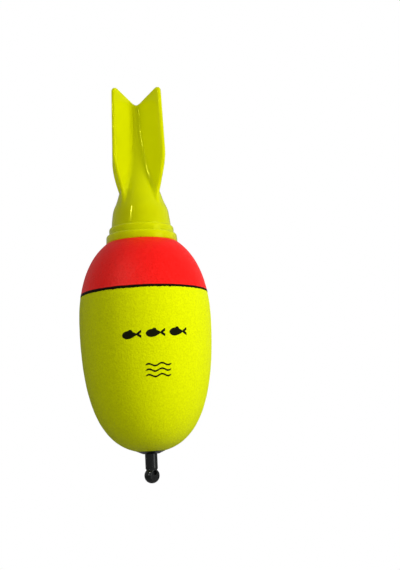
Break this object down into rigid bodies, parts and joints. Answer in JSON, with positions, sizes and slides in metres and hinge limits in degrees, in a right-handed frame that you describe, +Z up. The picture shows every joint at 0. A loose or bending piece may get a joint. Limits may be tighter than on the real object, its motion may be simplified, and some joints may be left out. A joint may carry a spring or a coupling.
{
  "type": "bobber float",
  "caption": "Egg-shaped foam fishing float on a stem with a line eye, with a finned light cap that unscrews over a coin-cell cup.",
  "frame": {"origin": "centre of the hole in the line eye at the bottom of the stem", "axes": "+Z up the float's axis from the line eye to the fin tips, -Y the printed front, +X to the right seen from the front"},
  "size_m": [0.0454, 0.0454, 0.1372],
  "materials": {
    "cap_plastic": "moulded fluorescent yellow-green polycarbonate, slightly see-through, glossy",
    "yellow_foam": "painted fine-cell moulded foam, fluorescent yellow-green, satin to matte",
    "red_foam": "painted fine-cell moulded foam, fluorescent red, satin to matte",
    "cup_plastic": "moulded white ABS",
    "stem_plastic": "moulded black ABS, semi-gloss",
    "cell_steel": "pressed nickel-plated stainless steel",
    "gasket_plastic": "moulded black polypropylene",
    "cell_core": "pressed dark electrode pellet with separator",
    "seal_rubber": "moulded black nitrile rubber",
    "board_laminate": "glass-epoxy laminate with green solder mask",
    "lamp_epoxy": "cast red-tinted epoxy, clear",
    "tinned_wire": "tinned wire",
    "chip_ceramic": "black glazed chip",
    "spring_steel": "nickel-plated spring wire",
    "contact_brass": "stamped phosphor bronze strip"
  },
  "bodies": {
    "float_body": {"foam_body": "yellow_foam", "foam_crown": "red_foam", "battery_cup": "cup_plastic", "stem": "stem_plastic", "stem_collar": "stem_plastic", "cell_can": "cell_steel", "cell_gasket": "gasket_plastic", "cell_cap": "cell_steel", "cell_core": "cell_core"},
    "seal": {"seal_ring": "seal_rubber"},
    "cap": {"fin_cap": "cap_plastic", "led_board": "board_laminate", "led_lens": "lamp_epoxy", "anode_lead": "tinned_wire", "cathode_lead": "tinned_wire", "resistor": "chip_ceramic", "contact_carrier": "cup_plastic", "contact_spring": "spring_steel", "contact_finger_1": "contact_brass", "contact_finger_2": "contact_brass"}
  },
  "joints": [
    {"name": "cap_lift", "type": "slide", "parent": "float_body", "child": "seal", "axis": [0, 0, 1], "range_m": [0, 0.0055]},
    {"name": "cap_turn", "type": "hinge", "parent": "seal", "child": "cap", "pos_m": [0, 0, 0.0794], "axis": [0, 0, 1], "range_deg": [0, 992]}
  ],
  "couplings": [
    {"joint": "cap_turn", "follows": "cap_lift", "rad_per_m": 3141.6}
  ]
}
